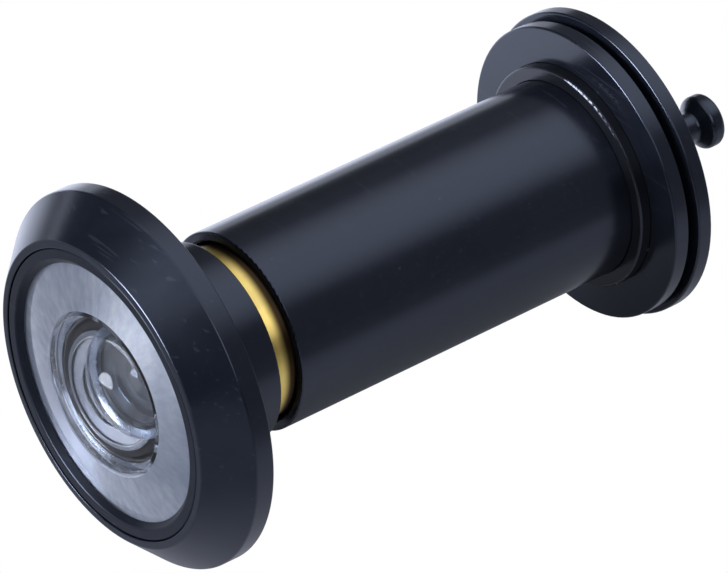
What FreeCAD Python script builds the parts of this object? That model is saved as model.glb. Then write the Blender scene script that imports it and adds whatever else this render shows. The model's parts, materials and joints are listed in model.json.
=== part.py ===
import FreeCAD, Part
import math
import os
import Sketcher

# Door viewer (peephole) for a 14 mm hole, in millimetres.
# The optical axis is the Y axis. The outside of the door is towards -Y, the room towards +Y, and +Z is up.
# The origin is on the axis, in the back face of the outside flange, which rests on the door's outer face.
#
# Outside half: housing, front glass with its bezel, reflector and seal, and a brass tube that holds the lenses.
# Inside half: sleeve, flange, centring ring, eyepiece, and a cover that swings on a rivet.

SIZES = {
    # lens tube and barrel
    "tube_bore": 10.6,
    "tube_wall": 0.95,
    "tube_length": 32.9,
    "thread_depth": 0.15,
    "thread_clearance": 0.05,
    "land_length": 10.9,
    "sleeve_wall": 0.7,
    # outside flange and neck
    "neck_length": 5.4,
    "flange_height": 3.95,
    "rim_height": 1.4,
    "bevel_width": 2.5,
    "lip_width": 0.5,
    "recess_depth": 2.05,
    # front glass, bezel, reflector and seal
    "aperture_diameter": 18.0,
    "bezel_width": 1.15,
    "bezel_slope": 0.4,
    "bezel_height": 1.3,
    "bezel_gap": 0.05,
    "glass_overlap": 0.7,
    "glass_edge_height": 0.8,
    "dome_rise": 1.68,
    "boss_length": 1.9,
    "boss_wall": 0.6,
    "boss_hollow": 2.6,
    "reflector_thickness": 0.7,
    "reflector_clearance": 0.2,
    "seal_width": 0.5,
    # lenses, cell and spacers in the tube
    "stack_clearance": 0.03,
    "lens_clearance": 0.08,
    "cell_gap": 0.05,
    "cell_lip": 1.2,
    "cell_throat": 0.25,
    "cell_mouth_wall": 0.35,
    "cell_lip_wall": 1.15,
    "cell_seat_wall": 0.75,
    "second_thickness": 1.8,
    "second_front_hollow": 0.4,
    "second_back_hollow": 0.9,
    "lens_land": 0.45,
    "spacer_wall": 1.0,
    "spacer_ring_length": 1.6,
    "third_thickness": 2.0,
    "third_hollow": 1.3,
    "spacer_tube_wall": 0.6,
    "spacer_tube_length": 21.6,
    "field_thickness": 1.4,
    "field_rise": 0.95,
    "field_land": 0.95,
    "tube_ring_wall": 0.9,
    "tube_ring_length": 1.5,
    "slot_width": 1.0,
    "slot_depth": 0.6,
    # sleeve and eyepiece
    "sleeve_gap": 1.65,
    "sleeve_length": 28.6,
    "sleeve_chamfer": 0.15,
    "spigot_wall": 0.45,
    "shoulder_depth": 2.45,
    "shoulder_length": 0.5,
    "shoulder_wall": 1.0,
    "eyepiece_thickness": 1.4,
    "eyepiece_rise": 0.9,
    "eyepiece_land": 1.2,
    "eyepiece_ring_wall": 1.1,
    "eyepiece_ring_inset": 0.2,
    # inside flange and centring ring
    "plate_overhang": 3.5,
    "plate_thickness": 1.2,
    "counterbore_depth": 0.3,
    "ring_clearance": 0.05,
    "ring_wall": 0.9,
    "ring_height": 0.85,
    # cover, pivot and knob
    "cover_gap": 0.5,
    "cover_thickness": 1.1,
    "cover_overhang": 0.4,
    "knob_angle": 40.0,
    "knob_inset": 2.7,
    "pivot_inset": 1.6,
    "pivot_diameter": 1.6,
    "pivot_clearance": 0.05,
    "pivot_head_overhang": 0.7,
    "pivot_head_height": 0.35,
    "pivot_head_rise": 0.35,
    "washer_overhang": 1.1,
    "washer_thickness": 0.2,
    "washer_clearance": 0.1,
    "knob_spigot_diameter": 1.6,
    "knob_foot_diameter": 2.7,
    "knob_foot_height": 0.3,
    "knob_neck_diameter": 2.0,
    "knob_neck_height": 1.8,
    "knob_head_diameter": 3.7,
    "knob_head_start": 2.5,
    "knob_head_height": 0.85,
    "knob_head_rise": 0.4,
    "knob_head_round": 0.38,
    # edge rounds
    "large_round": 0.25,
    "edge_round": 0.15,
    "fine_round": 0.06,
}


class Measure:
    """A length or angle: its number, and the spreadsheet expression that gives it."""

    def __init__(self, value, text):
        self.value = float(value)
        self.text = text

    def joined(self, other, sign, value):
        return Measure(value, f"({self.text} {sign} {as_measure(other).text})")

    def __add__(self, other):
        return self.joined(other, "+", self.value + as_measure(other).value)

    def __sub__(self, other):
        return self.joined(other, "-", self.value - as_measure(other).value)

    def __mul__(self, other):
        return self.joined(other, "*", self.value * as_measure(other).value)

    def __truediv__(self, other):
        return self.joined(other, "/", self.value / as_measure(other).value)

    def __neg__(self):
        return ZERO - self


def as_measure(number):
    return number if isinstance(number, Measure) else Measure(number, repr(float(number)))


def root(measure):
    return Measure(math.sqrt(measure.value), f"sqrt({measure.text})")


def cosine(angle):
    return Measure(math.cos(math.radians(angle.value)), f"cos({angle.text} * 1 deg)")


def sine(angle):
    return Measure(math.sin(math.radians(angle.value)), f"sin({angle.text} * 1 deg)")


ZERO = Measure(0.0, "0")

doc = FreeCAD.newDocument("door_viewer")
sheet = doc.addObject("Spreadsheet::Sheet", "Sizes")
size = {}
for row, (name, number) in enumerate(SIZES.items(), start=1):
    sheet.set(f"A{row}", name)
    sheet.set(f"B{row}", str(number))
    sheet.setAlias(f"B{row}", name)
    size[name] = Measure(number, f"Sizes.{name}")
doc.recompute()

pieces = []


def origin_plane(body, role):
    return next(f for f in body.Origin.OriginFeatures if f.Role == role)


def new_body(label, station):
    """A body whose origin is on the optical axis at the station, a place along Y."""
    body = doc.addObject("PartDesign::Body", label)
    body.Label = label
    body.setExpression("Placement.Base.y", station.text)
    pieces.append(body)
    return body


def new_sketch(body, name, role):
    sketch = body.newObject("Sketcher::SketchObject", name)
    sketch.AttachmentSupport = (origin_plane(body, role), [""])
    sketch.MapMode = "FlatFace"
    return sketch


def dimension(sketch, kind, *where, measure):
    """Add a dimension that follows the spreadsheet."""
    index = sketch.addConstraint(Sketcher.Constraint(kind, *where, measure.value))
    sketch.setExpression(f"Constraints[{index}]", measure.text)


def pin_down(sketch, line, end, axis, kind, measure):
    """Fix one coordinate of a point: on the axis where it is zero, or at a distance from the origin."""
    if measure is ZERO:
        sketch.addConstraint(Sketcher.Constraint("PointOnObject", line, end, axis))
    else:
        dimension(sketch, kind, -1, 1, line, end, measure=measure)


def lens_arc(start, end):
    """The arc from one point to another whose centre is on the axis of revolution."""
    (x1, y1), (x2, y2) = start, end
    centre = (x2 ** 2 - x1 ** 2 + y2 ** 2 - y1 ** 2) / (2 * (y2 - y1))
    radius = math.hypot(x1, y1 - centre)
    x = (x1 + x2) / 2
    y = centre + math.copysign(math.sqrt(radius ** 2 - x ** 2), y1 + y2 - 2 * centre)
    return Part.Arc(FreeCAD.Vector(x1, y1, 0), FreeCAD.Vector(x, y, 0), FreeCAD.Vector(x2, y2, 0))


def draw_outline(body, name, outline):
    """A closed sketch beside the optical axis through the (radius, place along Y) points.

    A point with a third entry, "arc", starts a spherical face that ends at the next point.
    """
    sketch = new_sketch(body, name, "XY_Plane")
    count = len(outline)
    ends = []
    for i, point in enumerate(outline):
        start = (point[0].value, point[1].value)
        end = tuple(m.value for m in outline[(i + 1) % count][:2])
        if len(point) == 3:
            sketch.addGeometry(lens_arc(start, end), False)
            first = sketch.Geometry[i].StartPoint
            swapped = math.hypot(first.x - start[0], first.y - start[1]) > 1e-6
            sketch.addConstraint(Sketcher.Constraint("PointOnObject", i, 3, -2))
        else:
            sketch.addGeometry(
                Part.LineSegment(FreeCAD.Vector(*start, 0), FreeCAD.Vector(*end, 0)), False)
            swapped = False
        ends.append((2, 1) if swapped else (1, 2))
    for i in range(count):
        follower = (i + 1) % count
        sketch.addConstraint(
            Sketcher.Constraint("Coincident", i, ends[i][1], follower, ends[follower][0]))
    for i, point in enumerate(outline):
        before = outline[i - 1]
        straight = i > 0 and len(before) == 2
        if straight and before[0].text == point[0].text:
            sketch.addConstraint(Sketcher.Constraint("Vertical", i - 1))
        else:
            pin_down(sketch, i, ends[i][0], -2, "DistanceX", point[0])
        if straight and before[1].text == point[1].text:
            sketch.addConstraint(Sketcher.Constraint("Horizontal", i - 1))
        else:
            pin_down(sketch, i, ends[i][0], -1, "DistanceY", point[1])
    doc.recompute()
    return sketch


def turned(label, station, outline, rounds=()):
    """A turned piece: the outline revolved about the optical axis, then its edges rounded.

    Each round is (radius, place, size of the fillet) and names the circular edge that it softens.
    """
    body = new_body(label, station)
    turn = body.newObject("PartDesign::Revolution", label + "_turn")
    turn.Profile = draw_outline(body, label + "_outline", outline)
    turn.ReferenceAxis = (turn.Profile[0], ["V_Axis"])
    turn.Angle = 360
    body.Tip = turn
    doc.recompute()
    for number, (radius, place, amount) in enumerate(rounds, start=1):
        sharp = body.Tip
        fillet = body.newObject("PartDesign::Fillet", f"{label}_round_{number}")
        fillet.Base = (sharp, [circle_edge(sharp.Shape, radius.value, place.value)])
        fillet.setExpression("Radius", amount.text)
        body.Tip = fillet
        doc.recompute()
    return body


def grind_hollow(body, name, radius, face, depth, side):
    """Grind a spherical hollow of the radius and depth into a lens's flat face.

    The side is 1 where the face looks to the room and -1 where it looks outside.
    """
    before = body.Shape.Volume
    ball_radius = (radius * radius + depth * depth) / (depth * 2)
    centre = face + (ball_radius - depth) * side
    ball = body.newObject("PartDesign::SubtractiveSphere", name)
    ball.AttachmentSupport = (origin_plane(body, "XY_Plane"), [""])
    ball.MapMode = "FlatFace"
    ball.setExpression("Radius", ball_radius.text)
    ball.setExpression("AttachmentOffset.Base.y", centre.text)
    body.Tip = ball
    doc.recompute()
    if not body.Shape.Volume < before:
        raise ValueError(f"{name} cut nothing")


def circle_edge(shape, radius, place):
    """The name of the full circular edge with this radius at this place along the axis."""
    for number, edge in enumerate(shape.Edges, start=1):
        if edge.Degenerated:
            continue
        curve = edge.Curve
        if isinstance(curve, Part.Circle) and abs(curve.Radius - radius) < 1e-5:
            if abs(curve.Center.y - place) < 1e-5 and math.hypot(curve.Center.x, curve.Center.z) < 1e-5:
                return f"Edge{number}"
    raise ValueError(f"no circular edge of radius {radius} at {place}")


def cut_through(body, name, draw):
    """Cut the closed outlines that draw adds to a sketch, seen along Y, right through the body."""
    before = body.Shape.Volume
    sketch = new_sketch(body, name + "_outline", "XZ_Plane")
    draw(sketch)
    pocket = body.newObject("PartDesign::Pocket", name)
    pocket.Profile = sketch
    pocket.Type = "ThroughAll"
    pocket.Midplane = True
    body.Tip = pocket
    doc.recompute()
    if not body.Shape.Volume < before:
        raise ValueError(f"{name} cut nothing")


def circle_at(radius, x, z):
    """Draws a circle of the radius, centred at x across and z up."""
    def draw(sketch):
        centre = FreeCAD.Vector(x.value, z.value, 0)
        circle = sketch.addGeometry(
            Part.Circle(centre, FreeCAD.Vector(0, 0, 1), radius.value), False)
        dimension(sketch, "Radius", circle, measure=radius)
        pin_down(sketch, circle, 3, -2, "DistanceX", x)
        pin_down(sketch, circle, 3, -1, "DistanceY", z)
    return draw


def spanner_slot(label, body, length):
    """Cut a straight slot across the room side of a ring, so that a key can turn it."""
    sketch = new_sketch(body, label + "_slot_outline", "YZ_Plane")
    half = size["slot_width"] / 2
    bottom = length - size["slot_depth"]
    corners = [(bottom, -half), (length, -half), (length, half), (bottom, half)]
    for i in range(4):
        start, end = corners[i], corners[(i + 1) % 4]
        sketch.addGeometry(Part.LineSegment(
            FreeCAD.Vector(start[0].value, start[1].value, 0),
            FreeCAD.Vector(end[0].value, end[1].value, 0)), False)
    for i in range(4):
        sketch.addConstraint(Sketcher.Constraint("Coincident", i, 2, (i + 1) % 4, 1))
        sketch.addConstraint(Sketcher.Constraint("Horizontal" if i % 2 == 0 else "Vertical", i))
    dimension(sketch, "DistanceX", -1, 1, 0, 1, measure=bottom)
    dimension(sketch, "DistanceY", -1, 1, 0, 1, measure=-half)
    dimension(sketch, "DistanceX", -1, 1, 0, 2, measure=length)
    dimension(sketch, "DistanceY", -1, 1, 2, 1, measure=half)
    before = body.Shape.Volume
    slot = body.newObject("PartDesign::Pocket", label + "_slot")
    slot.Profile = sketch
    slot.Type = "ThroughAll"
    slot.Midplane = True
    body.Tip = slot
    doc.recompute()
    if not body.Shape.Volume < before:
        raise ValueError(f"{label} slot cut nothing")


# Radii shared by the pieces
bore = size["tube_bore"] / 2
thread = bore + size["tube_wall"]
land = thread - size["thread_depth"]
sleeve_bore = thread + size["thread_clearance"]
barrel = sleeve_bore + size["sleeve_wall"]
aperture = size["aperture_diameter"] / 2
bezel_outer = aperture + size["bezel_width"]
recess = bezel_outer + size["bezel_gap"]
lip = recess + size["lip_width"]
flange = lip + size["bevel_width"]
glass = aperture + size["glass_overlap"]
reflector_outer = recess - size["bezel_gap"] - size["seal_width"] - size["bezel_gap"]
boss = bore - size["stack_clearance"] - size["lens_clearance"]
stack = bore - size["stack_clearance"]
plate = barrel + size["plate_overhang"]
cover = plate + size["cover_overhang"]

# Places along the axis
recess_floor = size["recess_depth"] - size["flange_height"]
glass_seat = recess_floor - size["reflector_thickness"]
boss_end = glass_seat + size["boss_length"]
mouth = size["neck_length"] + size["sleeve_gap"]
plate_front = mouth + size["sleeve_length"]
plate_back = plate_front + size["plate_thickness"]
cover_front = plate_back + size["cover_gap"]

# Places across the axis
toward_x, toward_z = cosine(size["knob_angle"]), sine(size["knob_angle"])
knob_x = (cover - size["knob_inset"]) * toward_x
knob_z = (cover - size["knob_inset"]) * toward_z
pivot_x = -(plate - size["pivot_inset"]) * toward_x
pivot_z = -(plate - size["pivot_inset"]) * toward_z


def at_pivot(body):
    """Move a piece from the optical axis to the cover's pivot."""
    body.setExpression("Placement.Base.x", pivot_x.text)
    body.setExpression("Placement.Base.z", pivot_z.text)


# Outside half -----------------------------------------------------------------

turned("front_housing", ZERO, [
    (land, size["neck_length"]),
    (barrel, size["neck_length"]),
    (barrel, ZERO),
    (flange, ZERO),
    (flange, -size["rim_height"]),
    (lip, -size["flange_height"]),
    (recess, -size["flange_height"]),
    (recess, recess_floor),
    (land, recess_floor),
], rounds=[
    (barrel, size["neck_length"], size["edge_round"]),
    (flange, ZERO, size["edge_round"]),
    (flange, -size["rim_height"], size["large_round"]),
    (lip, -size["flange_height"], size["large_round"]),
    (recess, -size["flange_height"], size["fine_round"]),
])

turned("reflector_ring", recess_floor - size["reflector_thickness"], [
    (boss + size["reflector_clearance"], ZERO),
    (reflector_outer, ZERO),
    (reflector_outer, size["reflector_thickness"]),
    (boss + size["reflector_clearance"], size["reflector_thickness"]),
])

turned("lens_seal", recess_floor - size["reflector_thickness"], [
    (recess - size["bezel_gap"] - size["seal_width"], ZERO),
    (recess - size["bezel_gap"], ZERO),
    (recess - size["bezel_gap"], size["reflector_thickness"]),
    (recess - size["bezel_gap"] - size["seal_width"], size["reflector_thickness"]),
])

# The dome is a sphere that rises by dome_rise over the aperture and runs on to the glass's rim.
dome_radius = (aperture * aperture + size["dome_rise"] * size["dome_rise"]) / (size["dome_rise"] * 2)
dome_top = -size["glass_edge_height"] - size["dome_rise"]
rim_place = dome_top + dome_radius - root(dome_radius * dome_radius - glass * glass)
objective_lens = turned("objective_lens", glass_seat, [
    (ZERO, dome_top, "arc"),
    (glass, rim_place),
    (glass, ZERO),
    (boss, ZERO),
    (boss, size["boss_length"]),
    (ZERO, size["boss_length"]),
])
grind_hollow(objective_lens, "boss_hollow", boss - size["boss_wall"],
             size["boss_length"], size["boss_hollow"], 1)

turned("bezel_ring", glass_seat, [
    (bezel_outer, ZERO),
    (bezel_outer, -size["bezel_height"]),
    (aperture + size["bezel_slope"], -size["bezel_height"]),
    (aperture, -size["glass_edge_height"] - size["bezel_gap"]),
    (glass + size["bezel_gap"], rim_place - size["bezel_gap"]),
    (glass + size["bezel_gap"], ZERO),
], rounds=[
    (bezel_outer, -size["bezel_height"], size["edge_round"]),
    (aperture + size["bezel_slope"], -size["bezel_height"], size["large_round"]),
])

tube_length = size["tube_length"]
turned("lens_tube", recess_floor, [
    (bore, ZERO),
    (land, ZERO),
    (land, size["land_length"]),
    (thread, size["land_length"] + size["thread_depth"]),
    (thread, tube_length - size["thread_depth"]),
    (land, tube_length),
    (bore, tube_length),
])

cell_front = boss_end + size["cell_gap"]
cell_seat = bore - size["cell_seat_wall"]
cell_length = size["cell_lip"] + size["second_thickness"]
turned("lens_cell", cell_front, [
    (bore - size["cell_mouth_wall"], ZERO),
    (stack, ZERO),
    (stack, cell_length),
    (cell_seat, cell_length),
    (cell_seat, size["cell_lip"]),
    (bore - size["cell_lip_wall"], size["cell_lip"]),
    (bore - size["cell_lip_wall"], size["cell_lip"] - size["cell_throat"]),
])

second_rim = cell_seat - size["lens_clearance"]
second_hollow = second_rim - size["lens_land"]
second_lens = turned("second_lens", cell_front + size["cell_lip"], [
    (ZERO, ZERO),
    (second_rim, ZERO),
    (second_rim, size["second_thickness"]),
    (ZERO, size["second_thickness"]),
])
grind_hollow(second_lens, "second_front", second_hollow, ZERO, size["second_front_hollow"], -1)
grind_hollow(second_lens, "second_back", second_hollow,
             size["second_thickness"], size["second_back_hollow"], 1)

spacer_front = cell_front + cell_length
turned("spacer_ring", spacer_front, [
    (stack - size["spacer_wall"], ZERO),
    (stack, ZERO),
    (stack, size["spacer_ring_length"]),
    (stack - size["spacer_wall"], size["spacer_ring_length"]),
])

third_front = spacer_front + size["spacer_ring_length"]
third_lens = turned("third_lens", third_front, [
    (ZERO, ZERO),
    (boss, ZERO),
    (boss, size["third_thickness"]),
    (ZERO, size["third_thickness"]),
])
grind_hollow(third_lens, "third_back", boss - size["lens_land"],
             size["third_thickness"], size["third_hollow"], 1)

long_spacer_front = third_front + size["third_thickness"]
turned("spacer_tube", long_spacer_front, [
    (stack - size["spacer_tube_wall"], ZERO),
    (stack, ZERO),
    (stack, size["spacer_tube_length"]),
    (stack - size["spacer_tube_wall"], size["spacer_tube_length"]),
])

field_front = long_spacer_front + size["spacer_tube_length"]
field_cap = boss - size["field_land"]
turned("field_lens", field_front, [
    (ZERO, -size["field_rise"], "arc"),
    (field_cap, ZERO),
    (boss, ZERO),
    (boss, size["field_thickness"]),
    (field_cap, size["field_thickness"], "arc"),
    (ZERO, size["field_thickness"] + size["field_rise"]),
])

tube_ring = turned("tube_ring", field_front + size["field_thickness"], [
    (stack - size["tube_ring_wall"], ZERO),
    (stack, ZERO),
    (stack, size["tube_ring_length"]),
    (stack - size["tube_ring_wall"], size["tube_ring_length"]),
])
spanner_slot("tube_ring", tube_ring, size["tube_ring_length"])

# Inside half ------------------------------------------------------------------

seat_depth = size["sleeve_length"] + size["counterbore_depth"]
sleeve_end = size["sleeve_length"] + size["plate_thickness"]
shoulder_front = size["sleeve_length"] - size["shoulder_depth"]
shoulder_back = shoulder_front + size["shoulder_length"]
spigot = sleeve_bore + size["spigot_wall"]
turned("sleeve", mouth, [
    (sleeve_bore + size["sleeve_chamfer"], ZERO),
    (barrel, ZERO),
    (barrel, seat_depth),
    (spigot, seat_depth),
    (spigot, sleeve_end),
    (sleeve_bore, sleeve_end),
    (sleeve_bore, shoulder_back),
    (sleeve_bore - size["shoulder_wall"], shoulder_back),
    (sleeve_bore - size["shoulder_wall"], shoulder_front),
    (sleeve_bore, shoulder_front),
    (sleeve_bore, size["sleeve_chamfer"]),
], rounds=[
    (barrel, ZERO, size["edge_round"]),
])

ring_bore = barrel + size["ring_clearance"]
ring_outer = ring_bore + size["ring_wall"]
ring_length = size["ring_height"] + size["counterbore_depth"] - size["ring_clearance"]
turned("centring_ring", plate_front - size["ring_height"], [
    (ring_bore, ZERO),
    (ring_outer, ZERO),
    (ring_outer, ring_length),
    (ring_bore, ring_length),
], rounds=[
    (ring_outer, ZERO, size["edge_round"]),
])

rear_flange = turned("rear_flange", plate_front, [
    (ring_outer + size["ring_clearance"], ZERO),
    (plate, ZERO),
    (plate, size["plate_thickness"]),
    (spigot, size["plate_thickness"]),
    (spigot, size["counterbore_depth"]),
    (ring_outer + size["ring_clearance"], size["counterbore_depth"]),
], rounds=[
    (plate, ZERO, size["edge_round"]),
    (plate, size["plate_thickness"], size["edge_round"]),
])
cut_through(rear_flange, "rivet_hole", circle_at(size["pivot_diameter"] / 2, pivot_x, pivot_z))

eyepiece_front = mouth + shoulder_back
eyepiece_rim = sleeve_bore - size["lens_clearance"]
turned("eyepiece_lens", eyepiece_front, [
    (ZERO, ZERO),
    (eyepiece_rim, ZERO),
    (eyepiece_rim, size["eyepiece_thickness"]),
    (eyepiece_rim - size["eyepiece_land"], size["eyepiece_thickness"], "arc"),
    (ZERO, size["eyepiece_thickness"] + size["eyepiece_rise"]),
])

eyepiece_back = eyepiece_front + size["eyepiece_thickness"]
eyepiece_ring_length = plate_back - size["eyepiece_ring_inset"] - eyepiece_back
eyepiece_ring = turned("eyepiece_ring", eyepiece_back, [
    (sleeve_bore - size["eyepiece_ring_wall"], ZERO),
    (sleeve_bore - size["stack_clearance"], ZERO),
    (sleeve_bore - size["stack_clearance"], eyepiece_ring_length),
    (sleeve_bore - size["eyepiece_ring_wall"], eyepiece_ring_length),
], rounds=[
    (sleeve_bore - size["eyepiece_ring_wall"], eyepiece_ring_length, size["edge_round"]),
])
spanner_slot("eyepiece_ring", eyepiece_ring, eyepiece_ring_length)

# Cover and its pivot ----------------------------------------------------------

pivot = size["pivot_diameter"] / 2
head_front = cover_front + size["cover_thickness"] + size["pivot_clearance"] - plate_front
head_edge = head_front + size["pivot_head_height"]
at_pivot(turned("pivot_rivet", plate_front, [
    (ZERO, ZERO),
    (pivot, ZERO),
    (pivot, head_front),
    (pivot + size["pivot_head_overhang"], head_front),
    (pivot + size["pivot_head_overhang"], head_edge, "arc"),
    (ZERO, head_edge + size["pivot_head_rise"]),
]))

washer_bore = pivot + size["pivot_clearance"]
washer_outer = pivot + size["washer_overhang"]
washer_height = size["cover_gap"] - size["washer_clearance"]
at_pivot(turned("spring_washer", plate_back, [
    (washer_bore, washer_height - size["washer_thickness"]),
    (washer_outer, ZERO),
    (washer_outer, size["washer_thickness"]),
    (washer_bore, washer_height),
]))

privacy_cover = turned("privacy_cover", cover_front, [
    (ZERO, ZERO),
    (cover, ZERO),
    (cover, size["cover_thickness"]),
    (ZERO, size["cover_thickness"]),
], rounds=[
    (cover, ZERO, size["edge_round"]),
    (cover, size["cover_thickness"], size["edge_round"]),
])
cut_through(privacy_cover, "pivot_hole", circle_at(pivot + size["pivot_clearance"], pivot_x, pivot_z))
cut_through(privacy_cover, "knob_hole", circle_at(size["knob_spigot_diameter"] / 2, knob_x, knob_z))

cover_thickness = size["cover_thickness"]
neck = size["knob_neck_diameter"] / 2
foot = size["knob_foot_diameter"] / 2
head = size["knob_head_diameter"] / 2
foot_top = cover_thickness + size["knob_foot_height"]
head_start = cover_thickness + size["knob_head_start"]
head_top = head_start + size["knob_head_height"]
cover_knob = turned("cover_knob", cover_front, [
    (ZERO, ZERO),
    (size["knob_spigot_diameter"] / 2, ZERO),
    (size["knob_spigot_diameter"] / 2, cover_thickness),
    (foot, cover_thickness),
    (foot, foot_top),
    (neck, foot_top + (foot - neck)),
    (neck, cover_thickness + size["knob_neck_height"]),
    (head, head_start),
    (head, head_top, "arc"),
    (ZERO, head_top + size["knob_head_rise"]),
], rounds=[
    (head, head_start, size["knob_head_round"]),
    (head, head_top, size["knob_head_round"]),
    (neck, cover_thickness + size["knob_neck_height"], size["large_round"]),
])
cover_knob.setExpression("Placement.Base.x", knob_x.text)
cover_knob.setExpression("Placement.Base.z", knob_z.text)

doc.recompute()

# Checks, then one STEP file for each piece ------------------------------------

for item in doc.Objects:
    if "Invalid" in item.State or "Error" in item.State:
        raise RuntimeError(f"{item.Name} failed: {item.State}")
    if item.TypeId == "Sketcher::SketchObject" and not item.FullyConstrained:
        raise RuntimeError(f"{item.Name} is not fully constrained")
for piece in pieces:
    if piece.Shape.isNull() or not piece.Shape.isValid():
        raise RuntimeError(f"{piece.Label} has no valid shape")

os.makedirs("parts", exist_ok=True)
for piece in pieces:
    piece.Shape.exportStep(f"parts/{piece.Label}.step")
    print(f"{piece.Label}: {piece.Shape.Volume:.2f} mm3")
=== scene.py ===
import json
import math

import bpy
import numpy as np
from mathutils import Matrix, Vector


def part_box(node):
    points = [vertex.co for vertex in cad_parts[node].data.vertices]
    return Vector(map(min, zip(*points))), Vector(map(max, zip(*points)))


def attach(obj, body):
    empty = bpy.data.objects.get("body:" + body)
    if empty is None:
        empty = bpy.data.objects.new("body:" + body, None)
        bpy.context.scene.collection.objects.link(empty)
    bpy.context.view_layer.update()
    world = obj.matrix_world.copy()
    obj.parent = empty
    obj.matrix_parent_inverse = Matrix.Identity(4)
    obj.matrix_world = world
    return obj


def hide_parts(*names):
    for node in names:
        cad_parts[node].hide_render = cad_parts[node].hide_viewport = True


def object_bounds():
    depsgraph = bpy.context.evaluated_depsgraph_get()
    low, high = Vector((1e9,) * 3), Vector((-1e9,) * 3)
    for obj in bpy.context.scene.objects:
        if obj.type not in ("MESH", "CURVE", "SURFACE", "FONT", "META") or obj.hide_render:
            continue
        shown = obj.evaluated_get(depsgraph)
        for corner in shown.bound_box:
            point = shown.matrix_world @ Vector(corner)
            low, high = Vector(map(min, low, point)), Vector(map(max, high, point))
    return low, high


# Door viewer: finishes, lenses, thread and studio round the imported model.
# Sizes inside the sections are millimetres; they become metres where a mesh is made.

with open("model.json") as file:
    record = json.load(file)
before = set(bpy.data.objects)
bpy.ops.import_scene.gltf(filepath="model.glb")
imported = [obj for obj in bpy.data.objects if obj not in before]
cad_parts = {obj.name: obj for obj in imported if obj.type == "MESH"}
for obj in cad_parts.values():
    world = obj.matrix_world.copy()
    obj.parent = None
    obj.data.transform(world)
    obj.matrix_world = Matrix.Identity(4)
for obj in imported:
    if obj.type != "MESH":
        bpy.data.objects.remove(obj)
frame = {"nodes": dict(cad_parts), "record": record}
cad_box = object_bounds()

MM = 0.001
TAU = 2 * math.pi
scene = bpy.context.scene


# Sizes from the frame ---------------------------------------------------------

def front_of(node):
    """Place of a node's outdoor end along the axis, in millimetres."""
    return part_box(node)[0].y / MM


def back_of(node):
    """Place of a node's indoor end along the axis, in millimetres."""
    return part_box(node)[1].y / MM


def radius_of(node):
    """Half a round node's width, in millimetres."""
    lo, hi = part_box(node)
    return (hi.x - lo.x) / 2 / MM


# Surfaces ---------------------------------------------------------------------

def cap(edge, rise, place, steps=40):
    """Rows (radius, place) of a spherical cap from the axis to its edge.

    R = (edge^2 + rise^2) / (2 |rise|) and y(r) = place + sign(rise) (sqrt(R^2 - r^2) - sqrt(R^2 - edge^2)).
    A negative rise bulges to -Y.
    """
    r = edge * np.linspace(0.0, 1.0, steps)
    ball = (edge ** 2 + rise ** 2) / (2 * abs(rise))
    y = place + np.sign(rise) * (np.sqrt(ball ** 2 - r ** 2) - math.sqrt(ball ** 2 - edge ** 2))
    return np.stack([r, y], axis=1)


def rounded(corners, steps=7):
    """Rows of a section with rounded corners, each given as (radius, place, round).

    With the unit vectors a and b along the corner's two sides and half its angle h, the arc has its centre at
    corner + (a + b) / |a + b| * round / sin(h) and meets the sides at round / tan(h) from the corner.
    """
    corners = np.array([(*c, 0.0)[:3] for c in corners])
    spots = corners[:, :2]
    rows = []
    neighbours = zip(np.roll(spots, 1, 0), spots, np.roll(spots, -1, 0), corners[:, 2])
    for before, spot, after, size in neighbours:
        if size == 0:
            rows.append(spot[None, :])
            continue
        a = (before - spot) / np.linalg.norm(before - spot)
        b = (after - spot) / np.linalg.norm(after - spot)
        half = math.acos(np.clip(a @ b, -1, 1)) / 2
        middle = spot + (a + b) / np.linalg.norm(a + b) * size / math.sin(half)
        first = spot + a * size / math.tan(half) - middle
        last = spot + b * size / math.tan(half) - middle
        sweep = math.pi - 2 * half
        k = np.linspace(0.0, 1.0, steps)[:, None]
        rows.append(middle + (np.sin((1 - k) * sweep) * first + np.sin(k * sweep) * last) / math.sin(sweep))
    return np.concatenate(rows)


def firmed(section, closed, hold=0.012, run=0.08):
    """Adds a row `hold` from each end of every side longer than `run` that meets a corner.

    Flat faces then keep their flat shading up to their edges.
    """
    following = np.roll(section, -1, 0)
    into = section - np.roll(section, 1, 0)
    out = following - section
    length = np.linalg.norm(out, axis=1)
    turn = np.abs(into[:, 0] * out[:, 1] - into[:, 1] * out[:, 0])
    turn = turn / (np.linalg.norm(into, axis=1) * length + 1e-12)
    wanted = (length > run) & ((turn > 0.04) | (np.roll(turn, -1) > 0.04))
    if not closed:
        wanted[-1] = False
    share = np.where(wanted, hold / np.maximum(length, 1e-9), 0.0)[:, None]
    trio = np.stack([section, section + out * share, following - out * share], axis=1)
    keep = np.stack([np.ones(len(section), bool), wanted, wanted], axis=1)
    return trio[keep]


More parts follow.
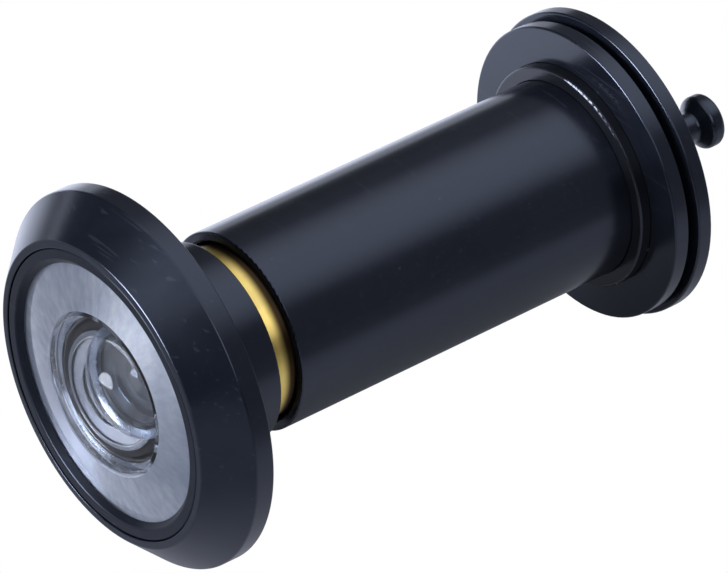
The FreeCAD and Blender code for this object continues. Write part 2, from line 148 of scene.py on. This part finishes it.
def build(name, points, rings, columns, poles, closed):
    """A closed mesh over a grid of `rings` rows and `columns` columns, with a fan to a point at each pole."""
    grid = np.arange(rings * columns).reshape(rings, columns)
    lower = grid if closed else grid[:-1]
    upper = np.roll(grid, -1, 0) if closed else grid[1:]
    quads = np.stack([lower, np.roll(lower, -1, 1), np.roll(upper, -1, 1), upper], axis=-1).reshape(-1, 4)
    fans = []
    if poles:
        start, end = rings * columns, rings * columns + 1
        first, final = grid[0], grid[-1]
        fans.append(np.stack([np.full(columns, start), np.roll(first, -1), first], axis=-1))
        fans.append(np.stack([np.full(columns, end), final, np.roll(final, -1)], axis=-1))
    tris = np.concatenate([quads[:, [0, 1, 2]], quads[:, [0, 2, 3]], *fans])
    a, b, c = points[tris[:, 0]], points[tris[:, 1]], points[tris[:, 2]]
    volume = np.einsum("ij,ij->i", a, np.cross(b, c)).sum()
    if volume < 0:
        quads = quads[:, ::-1]
        fans = [fan[:, ::-1] for fan in fans]
    mesh = bpy.data.meshes.new(name)
    mesh.from_pydata(points, [], quads.tolist() + [face for fan in fans for face in fan.tolist()])
    mesh.polygons.foreach_set("use_smooth", np.ones(len(mesh.polygons), bool))
    mesh.update()
    piece = bpy.data.objects.new(name, mesh)
    scene.collection.objects.link(piece)
    return piece


def turned(name, section, columns=256, ripple=None):
    """Turns a section about the Y axis: x = r cos t, y = place, z = r sin t, with t in `columns` equal steps.

    A section that starts and ends on the axis is a solid disc or lens, and any other is a ring. `ripple` adds
    to r.
    """
    solid = section[0, 0] == 0 and section[-1, 0] == 0
    rows = section[1:-1] if solid else section
    t = np.arange(columns) / columns * TAU
    r = np.repeat(rows[:, :1], columns, axis=1)
    if ripple is not None:
        r = r + ripple(rows[:, 1:2], t[None, :])
    y = np.repeat(rows[:, 1:2], columns, axis=1)
    points = np.stack([r * np.cos(t), y, r * np.sin(t)], axis=-1).reshape(-1, 3)
    if solid:
        points = np.concatenate([points, [(0.0, section[0, 1], 0.0), (0.0, section[-1, 1], 0.0)]])
    return build(name, points * MM, len(rows), columns, solid, not solid)


# Nodes ------------------------------------------------------------------------

def add(tree, kind, inputs=None, **settings):
    """Adds a node, sets its settings, and gives each input its value or link."""
    made = tree.nodes.new(kind)
    for label, value in settings.items():
        setattr(made, label, value)
    for label, value in (inputs or {}).items():
        socket = made.inputs[label]
        if isinstance(value, bpy.types.NodeSocket):
            tree.links.new(value, socket)
        else:
            socket.default_value = value
    return made


def maths(tree, operation, first, second=0.0, clamp=False):
    """One step of arithmetic between two values or sockets."""
    return add(tree, "ShaderNodeMath", {0: first, 1: second}, operation=operation, use_clamp=clamp).outputs[0]


def between(tree, value, low, high, to_low=0.0, to_high=1.0, step="LINEAR"):
    """Carries a value from one range to another, held at its ends."""
    limits = {"Value": value, "From Min": low, "From Max": high, "To Min": to_low, "To Max": to_high}
    return add(tree, "ShaderNodeMapRange", limits, interpolation_type=step).outputs[0]


def eased(tree, value, low, high, to_low=0.0, to_high=1.0):
    """Carries a value from one range to another along a smooth step."""
    return between(tree, value, low, high, to_low, to_high, "SMOOTHSTEP")


def blended(tree, share, first, second):
    """A colour part of the way from the first to the second, by the Mix node's colour sockets 6, 7 and 2."""
    made = add(tree, "ShaderNodeMix", {0: share, 6: first, 7: second}, data_type="RGBA")
    return made.outputs[2]


def group(name, inputs, outputs):
    """A new node group with its named sockets, as its tree and its two end nodes."""
    tree = bpy.data.node_groups.new(name, "ShaderNodeTree")
    for label, kind, value in inputs:
        tree.interface.new_socket(label, in_out="INPUT", socket_type=kind).default_value = value
    for label, kind in outputs:
        tree.interface.new_socket(label, in_out="OUTPUT", socket_type=kind)
    return tree, tree.nodes.new("NodeGroupInput"), tree.nodes.new("NodeGroupOutput")


def object_place(tree):
    """The point being shaded, in the object's own coordinates."""
    return add(tree, "ShaderNodeTexCoord").outputs["Object"]


def polar(tree):
    """Distance from the optical axis, angle round it and place along it."""
    parts = add(tree, "ShaderNodeSeparateXYZ", {0: object_place(tree)}).outputs
    flat = add(tree, "ShaderNodeCombineXYZ", {"X": parts["X"], "Y": parts["Z"]}).outputs[0]
    away = add(tree, "ShaderNodeVectorMath", {0: flat}, operation="LENGTH").outputs["Value"]
    angle = maths(tree, "ARCTAN2", parts["Z"], parts["X"])
    return away, angle, parts["Y"]


def noise(tree, place, scale, detail, **settings):
    """A noise value at a place."""
    labels = {"Vector": place, "Scale": scale, "Detail": detail}
    labels.update({label.capitalize(): value for label, value in settings.items()})
    return add(tree, "ShaderNodeTexNoise", labels).outputs["Fac"]


# Coating: the fine unevenness, handling marks and dust of a coated surface.
coating, given, result = group(
    "coating",
    [("Colour", "NodeSocketColor", (0.01, 0.01, 0.01, 1)),
     ("Dust Colour", "NodeSocketColor", (0.2, 0.2, 0.22, 1)),
     ("Roughness", "NodeSocketFloat", 0.3), ("Grain Size", "NodeSocketFloat", 0.0001),
     ("Marks", "NodeSocketFloat", 0.05), ("Dust", "NodeSocketFloat", 0.3)],
    [("Colour", "NodeSocketColor"), ("Roughness", "NodeSocketFloat"), ("Height", "NodeSocketFloat")])
place = object_place(coating)
grain_scale = maths(coating, "DIVIDE", 1.0, given.outputs["Grain Size"])
grain = noise(coating, place, grain_scale, 2.0, roughness=0.6)
marks = noise(coating, place, 260.0, 4.0, roughness=0.6, distortion=0.8)
specks = add(coating, "ShaderNodeTexVoronoi", {"Vector": place, "Scale": 900.0, "Randomness": 1.0})
speck_choice = add(coating, "ShaderNodeSeparateColor", {0: specks.outputs["Color"]}).outputs[0]
speck_size = between(coating, speck_choice, 0.86, 1.0, 0.0, 0.16)
speck = between(coating, maths(coating, "SUBTRACT", speck_size, specks.outputs["Distance"]), 0.0, 0.03)
speck = maths(coating, "MULTIPLY", speck, given.outputs["Dust"])
mark_share = between(coating, marks, 0.35, 0.75, 0.0, 0.35)
tone = blended(coating, mark_share, given.outputs["Colour"], given.outputs["Dust Colour"])
tone = blended(coating, 0.06, given.outputs["Colour"], tone)
tone = blended(coating, speck, tone, given.outputs["Dust Colour"])
uneven = maths(coating, "MULTIPLY", maths(coating, "SUBTRACT", marks, 0.5), given.outputs["Marks"])
fine = maths(coating, "MULTIPLY", maths(coating, "SUBTRACT", grain, 0.5),
             maths(coating, "MULTIPLY", given.outputs["Marks"], 0.6))
rough = maths(coating, "ADD", given.outputs["Roughness"], maths(coating, "ADD", uneven, fine))
rough = maths(coating, "ADD", rough, maths(coating, "MULTIPLY", speck, 0.3), clamp=True)
coating.links.new(tone, result.inputs["Colour"])
coating.links.new(rough, result.inputs["Roughness"])
lumps = maths(coating, "ADD", grain, maths(coating, "MULTIPLY", speck, 1.5))
coating.links.new(lumps, result.inputs["Height"])

# Turning: the lathe's fine rings, the streaks that they make in the light, and painted light for the colour: a
# brighter side and three darker fans, painted where light and its reflections fall on the ring.
PAINTED_BRIGHT_ANGLE = math.pi / 4
turning, given, result = group(
    "turning",
    [("Spacing", "NodeSocketFloat", 0.00008), ("Streaks", "NodeSocketFloat", 14.0)],
    [("Height", "NodeSocketFloat"), ("Streak", "NodeSocketFloat"), ("Painted Light", "NodeSocketFloat")])
away, angle, along = polar(turning)
across = maths(turning, "DIVIDE", away, given.outputs["Spacing"])
down = maths(turning, "DIVIDE", along, given.outputs["Spacing"])
drift = maths(turning, "MULTIPLY", maths(turning, "SINE", angle), 0.4)
ring_place = add(turning, "ShaderNodeCombineXYZ", {"X": across, "Y": down, "Z": drift}).outputs[0]
rings = noise(turning, ring_place, 1.0, 3.0, roughness=0.7)
wheel = add(turning, "ShaderNodeCombineXYZ",
            {"X": maths(turning, "COSINE", angle), "Y": maths(turning, "SINE", angle),
             "Z": maths(turning, "MULTIPLY", away, 60.0)}).outputs[0]
streak = noise(turning, wheel, given.outputs["Streaks"], 3.0, roughness=0.6)
# Painted light: one side of the ring is painted brighter, the other side duller, and three fans 120 degrees
# apart are painted darker.
from_painted_bright = maths(turning, "SUBTRACT", angle, PAINTED_BRIGHT_ANGLE)
painted_bright_side = between(turning, maths(turning, "COSINE", from_painted_bright), 1.0, -1.0, 0.0, 0.75)
painted_fan_angle = maths(turning, "SUBTRACT", maths(turning, "MULTIPLY", angle, 3.0), 3 * PAINTED_BRIGHT_ANGLE)
painted_dark_fans = between(turning, maths(turning, "COSINE", painted_fan_angle), 1.0, -1.0)
painted_dark_fans = maths(turning, "MULTIPLY", maths(turning, "POWER", painted_dark_fans, 2.0), 0.5)
turning.links.new(rings, result.inputs["Height"])
turning.links.new(maths(turning, "ADD", painted_bright_side, painted_dark_fans), result.inputs["Painted Light"])
turning.links.new(streak, result.inputs["Streak"])

# Scratches: long fine hairlines in random directions.
scratches, given, result = group(
    "scratches", [("Scale", "NodeSocketFloat", 120.0), ("Amount", "NodeSocketFloat", 0.5)],
    [("Mask", "NodeSocketFloat")])
place = object_place(scratches)
layers = []
for turn in ((0.3, 0.9, 0.2), (1.4, 0.1, 1.1), (2.3, 1.6, 0.7)):
    stretched = {"Vector": place, "Rotation": turn, "Scale": (1.0, 26.0, 26.0)}
    spun = add(scratches, "ShaderNodeMapping", stretched).outputs[0]
    hair = noise(scratches, spun, given.outputs["Scale"], 1.0, distortion=0.2)
    layers.append(between(scratches, hair, 0.70, 0.74))
mask = maths(scratches, "MAXIMUM", maths(scratches, "MAXIMUM", layers[0], layers[1]), layers[2])
scratches.links.new(maths(scratches, "MULTIPLY", mask, given.outputs["Amount"]), result.inputs["Mask"])

# Patina: slow changes of colour over bare metal.
patina, given, result = group(
    "patina",
    [("Bright", "NodeSocketColor", (0.8, 0.6, 0.2, 1)), ("Dull", "NodeSocketColor", (0.5, 0.3, 0.1, 1)),
     ("Scale", "NodeSocketFloat", 300.0)],
    [("Colour", "NodeSocketColor"), ("Mask", "NodeSocketFloat")])
cloud = noise(patina, object_place(patina), given.outputs["Scale"], 5.0, roughness=0.65)
share = between(patina, cloud, 0.35, 0.75)
tone = blended(patina, share, given.outputs["Bright"], given.outputs["Dull"])
patina.links.new(tone, result.inputs["Colour"])
patina.links.new(share, result.inputs["Mask"])


def new_finish(name):
    """A new material, with its tree and its shader."""
    material = bpy.data.materials.new(name)
    material.use_nodes = True
    return material, material.node_tree, material.node_tree.nodes["Principled BSDF"]


def use(tree, shared, inputs):
    """Places a shared group in a material."""
    return add(tree, "ShaderNodeGroup", inputs, node_tree=shared)


def bump(tree, shader, height, distance, strength=1.0):
    """Feeds a height to the shader's normal, in metres from low to high."""
    lift = add(tree, "ShaderNodeBump", {"Height": height, "Distance": distance, "Strength": strength})
    tree.links.new(lift.outputs["Normal"], shader.inputs["Normal"])


def coated(name, colour, dust_colour, roughness, grain_size, grain_height, tint, ior, marks, dust, lines=0.0,
           hairlines=0.0):
    """A black coating: grain and dust from the coating group, faint turning lines and hairlines under it."""
    material, tree, shader = new_finish(name)
    coat = use(tree, coating, {"Colour": colour, "Dust Colour": dust_colour, "Roughness": roughness,
                               "Grain Size": grain_size, "Marks": marks, "Dust": dust})
    hair = use(tree, scratches, {"Scale": 110.0, "Amount": hairlines}).outputs["Mask"]
    tone = blended(tree, maths(tree, "MULTIPLY", hair, 0.25), coat.outputs["Colour"], dust_colour)
    tree.links.new(tone, shader.inputs["Base Color"])
    rough = maths(tree, "ADD", coat.outputs["Roughness"], maths(tree, "MULTIPLY", hair, 0.12))
    tree.links.new(rough, shader.inputs["Roughness"])
    shader.inputs["IOR"].default_value = ior
    shader.inputs["Specular Tint"].default_value = tint
    turn = use(tree, turning, {"Spacing": 0.00009}).outputs["Height"]
    height = maths(tree, "ADD", coat.outputs["Height"], maths(tree, "MULTIPLY", turn, lines))
    height = maths(tree, "SUBTRACT", height, maths(tree, "MULTIPLY", hair, 0.8))
    bump(tree, shader, height, grain_height)
    return material


def bare_metal(name, bright, dull, roughness, spacing, line_height, streaks=0.1, lean=0.0, patina_scale=300.0,
               metallic=1.0, fans=0.0, painted_light_share=0.0, matt_edge=0.0):
    """Turned bare metal: patina in its colour, lathe rings in its normal, streaks in its roughness.

    A `lean` stretches the gloss across the lathe rings. A lower `metallic` adds the scatter of a matt skin,
    and inside the radius `matt_edge` the skin is matt, as on a blasted chamfer. `fans` is how much the streaks
    dull the colour, and `painted_light_share` how much the painted brighter side and painted darker fans do.
    """
    material, tree, shader = new_finish(name)
    tone = use(tree, patina, {"Bright": bright, "Dull": dull, "Scale": patina_scale})
    turn = use(tree, turning, {"Spacing": spacing})
    streak_and_painted_shade = between(tree, turn.outputs["Streak"], 0.35, 0.65, 0.0, fans)
    # Painted light: the turning group's painted brighter side and darker fans dull the colour by this share.
    painted_light_shade = maths(tree, "MULTIPLY", turn.outputs["Painted Light"], painted_light_share)
    streak_and_painted_shade = maths(tree, "ADD", streak_and_painted_shade, painted_light_shade, clamp=True)
    tree.links.new(blended(tree, streak_and_painted_shade, tone.outputs["Colour"], dull), shader.inputs["Base Color"])
    swing = maths(tree, "MULTIPLY", maths(tree, "SUBTRACT", turn.outputs["Streak"], 0.5), streaks)
    dullness = maths(tree, "MULTIPLY", tone.outputs["Mask"], 0.06)
    rough = maths(tree, "ADD", maths(tree, "ADD", swing, dullness), roughness, clamp=True)
    tree.links.new(rough, shader.inputs["Roughness"])
    shader.inputs["Metallic"].default_value = metallic
    if matt_edge:
        away, _, _ = polar(tree)
        edge = eased(tree, away, matt_edge + 0.00002, matt_edge)
        skin = maths(tree, "SUBTRACT", metallic, maths(tree, "MULTIPLY", edge, 0.6))
        tree.links.new(skin, shader.inputs["Metallic"])
    shader.inputs["Anisotropic"].default_value = lean
    if lean:
        shader.inputs["Anisotropic Rotation"].default_value = 0.25
        tangent = add(tree, "ShaderNodeTangent", direction_type="RADIAL", axis="Y").outputs[0]
        tree.links.new(tangent, shader.inputs["Tangent"])
    bump(tree, shader, turn.outputs["Height"], line_height)
    return material


def glass(name, colour, ior, marks, clear=1.0):
    """Clear glass, faintly marked and dusty in its roughness; below 1, `clear` adds a coating's bloom."""
    material, tree, shader = new_finish(name)
    coat = use(tree, coating, {"Roughness": 0.0, "Grain Size": 0.0004, "Marks": marks, "Dust": 0.02})
    tree.links.new(coat.outputs["Roughness"], shader.inputs["Roughness"])
    shader.inputs["Base Color"].default_value = colour
    shader.inputs["Transmission Weight"].default_value = clear
    shader.inputs["IOR"].default_value = ior
    return material


def plated_brass(name):
    """Turned brass: front face bright plated, bore blackened, and painted shade, with a painted reflection of
    the black sleeve, darkening it next to the neck and the sleeve.
    """
    material = bare_metal(name, (0.95, 0.72, 0.22, 1), (0.84, 0.58, 0.14, 1), 0.28, 0.00009, 0.0000014,
                          streaks=0.10, patina_scale=380.0, metallic=0.9)
    tree = material.node_tree
    shader = tree.nodes["Principled BSDF"]
    brass_tone = shader.inputs["Base Color"].links[0].from_socket
    away, _, along = polar(tree)
    # Painted shade and reflection: the brass is darkened next to the neck's end and the sleeve's mouth, where
    # their shade and the sleeve's black face fall on it.
    painted_shade_band = maths(tree, "MULTIPLY", eased(tree, along, 0.00615, 0.00690), eased(tree, along, 0.0088, 0.0074))
    painted_shade_band = maths(tree, "MAXIMUM", painted_shade_band, eased(tree, along, 0.00575, 0.00535, 0.0, 0.8))
    brass_tone = blended(tree, painted_shade_band, brass_tone, (0.035, 0.020, 0.008, 1))
    outer = blended(tree, eased(tree, along, -0.0018, -0.0016), (0.84, 0.87, 0.93, 1), brass_tone)
    tone = blended(tree, eased(tree, away, 0.00534, 0.00538), (0.03, 0.03, 0.035, 1), outer)
    tree.links.new(tone, shader.inputs["Base Color"])
    return material


BLUE_SHEEN = (0.67, 0.74, 0.93, 1)
NO_SHEEN = (1.0, 1.0, 1.0, 1)
BLUE_DUST = (0.10, 0.11, 0.14, 1)
finish = {
    "black_metal": coated(
        "black_metal", (0.0045, 0.0055, 0.0085, 1), BLUE_DUST, roughness=0.20, grain_size=0.00012,
        grain_height=0.0000016, tint=BLUE_SHEEN, ior=1.62, marks=0.05, dust=0.14, lines=0.25, hairlines=0.25),
    "black_bezel": coated(
        "black_bezel", (0.004, 0.005, 0.0075, 1), BLUE_DUST, roughness=0.32, grain_size=0.00012,
        grain_height=0.0000012, tint=BLUE_SHEEN, ior=1.38, marks=0.04, dust=0.2, lines=0.2, hairlines=0.2),
    "black_nylon": coated(
        "black_nylon", (0.006, 0.0065, 0.008, 1), (0.10, 0.10, 0.11, 1), roughness=0.20, grain_size=0.00008,
        grain_height=0.000003, tint=(0.8, 0.85, 1.0, 1), ior=1.52, marks=0.08, dust=0.3),
    "matt_black": coated(
        "matt_black", (0.008, 0.010, 0.014, 1), (0.07, 0.08, 0.10, 1), roughness=0.62, grain_size=0.00006,
        grain_height=0.000004, tint=NO_SHEEN, ior=1.45, marks=0.1, dust=0.5, lines=0.6),
    "rubber": coated(
        "rubber", (0.010, 0.010, 0.010, 1), (0.06, 0.06, 0.06, 1), roughness=0.65, grain_size=0.00007,
        grain_height=0.000005, tint=NO_SHEEN, ior=1.45, marks=0.12, dust=0.6),
    "bright_ring": bare_metal(
        "bright_ring", (1.0, 1.0, 1.0, 1), (0.46, 0.50, 0.59, 1), roughness=0.42, spacing=0.00007,
        line_height=0.0000006, streaks=0.30, lean=0.9, patina_scale=160.0, metallic=0.65, fans=0.4,
        painted_light_share=0.9, matt_edge=0.00551),
    "bright_cell": bare_metal(
        "bright_cell", (0.74, 0.81, 0.94, 1), (0.52, 0.57, 0.68, 1), roughness=0.24, spacing=0.00010,
        line_height=0.0000004, streaks=0.12),
    "brass": plated_brass("brass"),
    "spring_steel": bare_metal(
        "spring_steel", (0.52, 0.52, 0.53, 1), (0.36, 0.36, 0.37, 1), roughness=0.30, spacing=0.00012,
        line_height=0.000001),
    "front_glass": glass("front_glass", (0.97, 0.985, 1.0, 1), ior=1.58, marks=0.008),
    "inner_glass": glass("inner_glass", (0.88, 0.93, 1.0, 1), ior=1.60, marks=0.0, clear=0.95),
}
slots = {}
for name, node in frame["nodes"].items():
    slots[name] = node.data.materials[0].name.split(".")[0]
    for number in range(len(node.data.materials)):
        node.data.materials[number] = finish[slots[name]]
node_body = {}
for body, members in frame["record"]["behaviour"]["bodies"].items():
    for member in members:
        node_body[member] = body


def stand_in(piece, node):
    """A finer piece takes the place of a CAD node: same body, same slot, same finish."""
    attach(piece, node_body[node])
    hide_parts(node)
    piece.data.materials.append(finish[slots[node]])
    return piece


# Outside flange and bezel -----------------------------------------------------

flange, barrel = radius_of("front_housing"), radius_of("sleeve")
housing_front, housing_back = front_of("front_housing"), back_of("front_housing")
recess, recess_floor = radius_of("lens_seal") + 0.05, back_of("lens_seal")
tube_crest = radius_of("lens_tube")
tube_land = tube_crest - 0.15
rim, lip = -1.4, flange - 2.5
housing_section = rounded([
    (tube_land, housing_back), (barrel, housing_back, 0.15), (barrel, 0.0), (flange, 0.0, 0.15),
    (flange, rim, 0.25), (lip, housing_front, 0.25), (recess, housing_front, 0.06), (recess, recess_floor),
    (tube_land, recess_floor)])
stand_in(turned("outside_flange", firmed(housing_section, True), 320), "front_housing")

# The bezel's lip holds the glass down. Its underside slants with the dome, and its wall stands round the rim.
bezel_outer, bezel_front, bezel_back = radius_of("bezel_ring"), front_of("bezel_ring"), back_of("bezel_ring")
bezel_mouth, bezel_lip, bezel_wall = 9.4, 9.0, 9.75
bezel_section = rounded([
    (bezel_outer, bezel_back), (bezel_outer, bezel_front, 0.15), (bezel_mouth, bezel_front, 0.25),
    (bezel_lip, bezel_back - 0.85, 0.03), (bezel_wall, bezel_back - 0.567), (bezel_wall, bezel_back)])
stand_in(turned("front_bezel", firmed(bezel_section, True), 320), "bezel_ring")

# Front glass ------------------------------------------------------------------

# A shallow dome outside; behind it a flat seat, a boss and a deep hollow.
glass_rim = radius_of("objective_lens")
glass_front = front_of("objective_lens")
boss_back = back_of("objective_lens")
seat = front_of("reflector_ring")
dome_edge = seat - 0.517
boss = 5.19
dome = cap(glass_rim, glass_front - dome_edge, dome_edge, 64)
hollow = cap(boss - 0.6, -2.6, boss_back, 48)
front_section = np.concatenate([dome, [(glass_rim, seat), (boss, seat), (boss, boss_back)], hollow[::-1]])
stand_in(turned("front_glass_dome", firmed(front_section, False), 256), "objective_lens")

# The reflector is bonded to the glass: its face lies a hair inside it, so no air comes between them.
# Its bore has a chamfer.
BOND = 0.02
CHAMFER = 0.10
ring_bore, ring_outer = boss + 0.2, radius_of("reflector_ring")
ring_back = back_of("reflector_ring")
ring_section = rounded([
    (ring_bore, seat + CHAMFER, 0.03), (ring_bore + CHAMFER, seat - BOND, 0.02),
    (ring_outer, seat - BOND, 0.01), (ring_outer, ring_back), (ring_bore, ring_back)])
stand_in(turned("bright_reflector", firmed(ring_section, True), 256), "reflector_ring")

# Lens cell and inner lenses ---------------------------------------------------

cell_front, cell_back = front_of("lens_cell"), back_of("lens_cell")
cell_outer = radius_of("lens_cell")
second_front, second_back = front_of("second_lens"), back_of("second_lens")
second_rim = radius_of("second_lens")
cell_mouth, cell_throat, cell_bore = 4.95, 4.15, second_rim + 0.08
cell_section = rounded([
    (cell_mouth, cell_front, 0.08), (cell_outer, cell_front), (cell_outer, cell_back),
    (cell_bore, cell_back, 0.04), (cell_bore, second_front), (cell_throat, second_front, 0.06),
    (cell_throat, second_front - 0.25, 0.08)])
stand_in(turned("bright_lens_cell", firmed(cell_section, True), 256), "lens_cell")

LENS_FLAT = 0.45
second_edge = second_rim - LENS_FLAT
second_section = np.concatenate([
    cap(second_edge, 0.4, second_front), [(second_rim, second_front), (second_rim, second_back)],
    cap(second_edge, -0.9, second_back)[::-1]])
stand_in(turned("second_lens_element", firmed(second_section, False), 192), "second_lens")

third_front, third_back, third_rim = front_of("third_lens"), back_of("third_lens"), radius_of("third_lens")
third_section = np.concatenate([
    [(0.0, third_front), (third_rim, third_front), (third_rim, third_back)],
    cap(third_rim - LENS_FLAT, -1.3, third_back)[::-1]])
stand_in(turned("third_lens_element", firmed(third_section, False), 192), "third_lens")

# Lens tube with its thread ----------------------------------------------------

PITCH = 1.0
THREAD_DEPTH = 0.32
THREAD_ROWS = 300
tube_bore = 5.3
tube_front, tube_back = front_of("lens_tube"), back_of("lens_tube")
thread_from, thread_to = tube_front + 10.9, tube_back - 0.25


def thread_cut(y, t):
    """Minus the depth taken off the crest: THREAD_DEPTH times a flat-topped wave of (y / PITCH - t / 2 pi).

    It fades in over one pitch and out over half of one. At the tube's ends, where the bore's rows lie, it is
    nothing.
    """
    phase = np.mod(y / PITCH - t / TAU, 1.0)
    tooth = np.clip(np.abs(2 * phase - 1) * 1.5 - 0.25, 0.0, 1.0)
    fade = np.clip((y - thread_from) / PITCH, 0.0, 1.0) * np.clip((thread_to - y) / (0.5 * PITCH), 0.0, 1.0)
    on_thread = (y > thread_from) & (y < thread_to)
    return -np.where(on_thread, THREAD_DEPTH * tooth * fade, 0.0)


thread_rows = np.linspace(thread_from + 0.15, thread_to, THREAD_ROWS)
tube_section = np.concatenate([
    [(tube_land, tube_front), (tube_land, thread_from)],
    np.stack([np.full(THREAD_ROWS, tube_crest), thread_rows], axis=1),
    [(tube_land, tube_back), (tube_bore, tube_back), (tube_bore, tube_front)]])
stand_in(turned("threaded_lens_tube", tube_section, 144, ripple=thread_cut), "lens_tube")

# Studio -----------------------------------------------------------------------

FLOOR = cad_box[0].z - 0.0004


def floor_disc(radius=1.6, rings=24, columns=96):
    """A flat disc: x = r cos t, y = r sin t, with r growing as the square of the ring's share."""
    r = radius * np.linspace(0.02, 1.0, rings)[:, None] ** 2
    t = np.arange(columns)[None, :] / columns * TAU
    x = r * np.cos(t)
    points = np.stack([x, r * np.sin(t), np.full(x.shape, FLOOR)], axis=-1).reshape(-1, 3)
    grid = np.arange(rings * columns).reshape(rings, columns)
    near, far = grid[:-1], grid[1:]
    quads = np.stack([near, far, np.roll(far, -1, 1), np.roll(near, -1, 1)], axis=-1).reshape(-1, 4)
    mesh = bpy.data.meshes.new("floor")
    mesh.from_pydata(points, [], quads.tolist() + [grid[0].tolist()])
    piece = bpy.data.objects.new("floor", mesh)
    scene.collection.objects.link(piece)
    return piece


# White paper, lit from above. Its colour has painted shade towards +X and towards the front, and a painted
# glow on the far side stands in for the light of a lit sweep. The camera looks through it to the white
# surround, so that the cover shows whole when it swings down past it.
WHITE, BLACK = (1.0, 1.0, 1.0, 1), (0.0, 0.0, 0.0, 1)
paper, tree, shader = new_finish("floor_paper")
paper_grain = use(tree, coating, {"Colour": (0.55, 0.55, 0.56, 1), "Dust Colour": (0.50, 0.50, 0.51, 1),
                                  "Roughness": 0.9, "Grain Size": 0.002, "Marks": 0.02, "Dust": 0.0})
tree.links.new(paper_grain.outputs["Roughness"], shader.inputs["Roughness"])
shader.inputs["IOR"].default_value = 1.2
where = add(tree, "ShaderNodeSeparateXYZ", {0: object_place(tree)}).outputs
# Painted shade: the paper's colour darkens towards +X and towards the front (-Y).
shaded_side = eased(tree, where["X"], 0.03, 0.08, 0.0, 0.6)
shaded_front = eased(tree, where["Y"], -0.002, -0.016, 0.0, 0.5)
shaded = maths(tree, "MAXIMUM", shaded_side, shaded_front)
tree.links.new(blended(tree, shaded, paper_grain.outputs["Colour"], BLACK), shader.inputs["Base Color"])
seen = add(tree, "ShaderNodeLightPath").outputs["Is Camera Ray"]
# Painted glow: the paper emits light on the far side, with no lamp there.
far_glow = eased(tree, where["X"], 0.0, -0.05, 0.0, 0.95)
far_glow = maths(tree, "MULTIPLY", far_glow, eased(tree, where["Y"], -0.02, 0.015))
far_glow = maths(tree, "MULTIPLY", far_glow, eased(tree, where["Y"], 0.095, 0.045, 0.12, 1.0))
glow = add(tree, "ShaderNodeEmission", {"Color": (0.88, 0.95, 1.18, 1), "Strength": far_glow})
both = add(tree, "ShaderNodeAddShader", {0: shader.outputs[0], 1: glow.outputs[0]})
clear = add(tree, "ShaderNodeBsdfTransparent")
shown = add(tree, "ShaderNodeMixShader", {0: seen, 1: both.outputs[0], 2: clear.outputs[0]})
tree.links.new(shown.outputs[0], tree.nodes["Material Output"].inputs["Surface"])
floor = floor_disc()
floor.data.materials.append(paper)

# A feathered softbox overhead, a dim room in front, a lighter one behind, and a white wall low down on the far
# side.
world = bpy.data.worlds.new("studio")
scene.world = world
world.use_nodes = True
sky = world.node_tree
way = add(sky, "ShaderNodeTexCoord").outputs["Generated"]
toward = add(sky, "ShaderNodeSeparateXYZ", {0: way}).outputs
height = maths(sky, "MAXIMUM", toward["Z"], 0.03)
box_x = maths(sky, "ABSOLUTE", maths(sky, "SUBTRACT", maths(sky, "DIVIDE", toward["X"], height), 0.10))
box_y = maths(sky, "DIVIDE", toward["Y"], height)
box_length = maths(sky, "MULTIPLY", eased(sky, box_y, -1.90, -0.90), eased(sky, box_y, 2.6, 1.6))
softbox = maths(sky, "MULTIPLY", maths(sky, "MULTIPLY", eased(sky, box_x, 1.15, 0.15), box_length), 1.14)
room = maths(sky, "MULTIPLY", eased(sky, toward["Y"], -0.4, 0.5, 0.03, 0.21),
             eased(sky, toward["X"], -0.65, -0.85, 1.0, 0.45))
wall = maths(sky, "MULTIPLY", eased(sky, toward["X"], -0.60, -0.95, 0.0, 1.1),
             eased(sky, toward["Z"], 0.12, 0.0))


def round_light(direction, inner, outer, strength):
    """Radiance of a round feathered light: full within `inner` degrees of its direction, none past `outer`."""
    unit = Vector(direction).normalized()
    cosine = add(sky, "ShaderNodeVectorMath", {0: way, 1: unit}, operation="DOT_PRODUCT").outputs["Value"]
    return eased(sky, cosine, math.cos(math.radians(outer)), math.cos(math.radians(inner)), 0.0, strength)


# The front light fades out towards the horizon, and a weak one fills the side that the camera is on.
front_light = maths(sky, "MULTIPLY", round_light((-0.26, -0.93, 0.15), 8, 20, 31.0),
                    eased(sky, toward["Z"], 0.0, 0.10))
fill_light = round_light((0.72, -0.42, 0.56), 8, 22, 1.6)
radiance = maths(sky, "ADD", softbox, maths(sky, "ADD", room, wall))
radiance = maths(sky, "ADD", radiance, front_light)
radiance = maths(sky, "ADD", radiance, fill_light)
rays = add(sky, "ShaderNodeLightPath").outputs["Is Camera Ray"]
surround = sky.nodes["Background"]
sky.links.new(blended(sky, rays, (0.93, 0.98, 1.13, 1), WHITE), surround.inputs["Color"])
strength = maths(sky, "ADD", maths(sky, "MULTIPLY", radiance, maths(sky, "SUBTRACT", 1.0, rays)), rays)
sky.links.new(strength, surround.inputs["Strength"])

# Camera -----------------------------------------------------------------------

# A long lens, well back from the object: nearly no perspective.
azimuth, elevation = math.radians(51.7), math.radians(36.6)
AIM = Vector((0.0041, 0.0144, 0.0027))
DISTANCE = 0.4452
level = math.cos(elevation)
back = Vector((math.sin(azimuth) * level, -math.cos(azimuth) * level, math.sin(elevation)))
lens = bpy.data.cameras.new("camera")
lens.lens = 338.7
lens.sensor_width = 36.0
camera = bpy.data.objects.new("camera", lens)
scene.collection.objects.link(camera)
camera.location = AIM + back * DISTANCE
camera.rotation_mode = "QUATERNION"
camera.rotation_quaternion = (-back).to_track_quat("-Z", "Y")
lens.clip_start, lens.clip_end = 0.01, 10.0
scene.camera = camera
scene.view_settings.view_transform = "Standard"
scene.view_settings.look = "None"
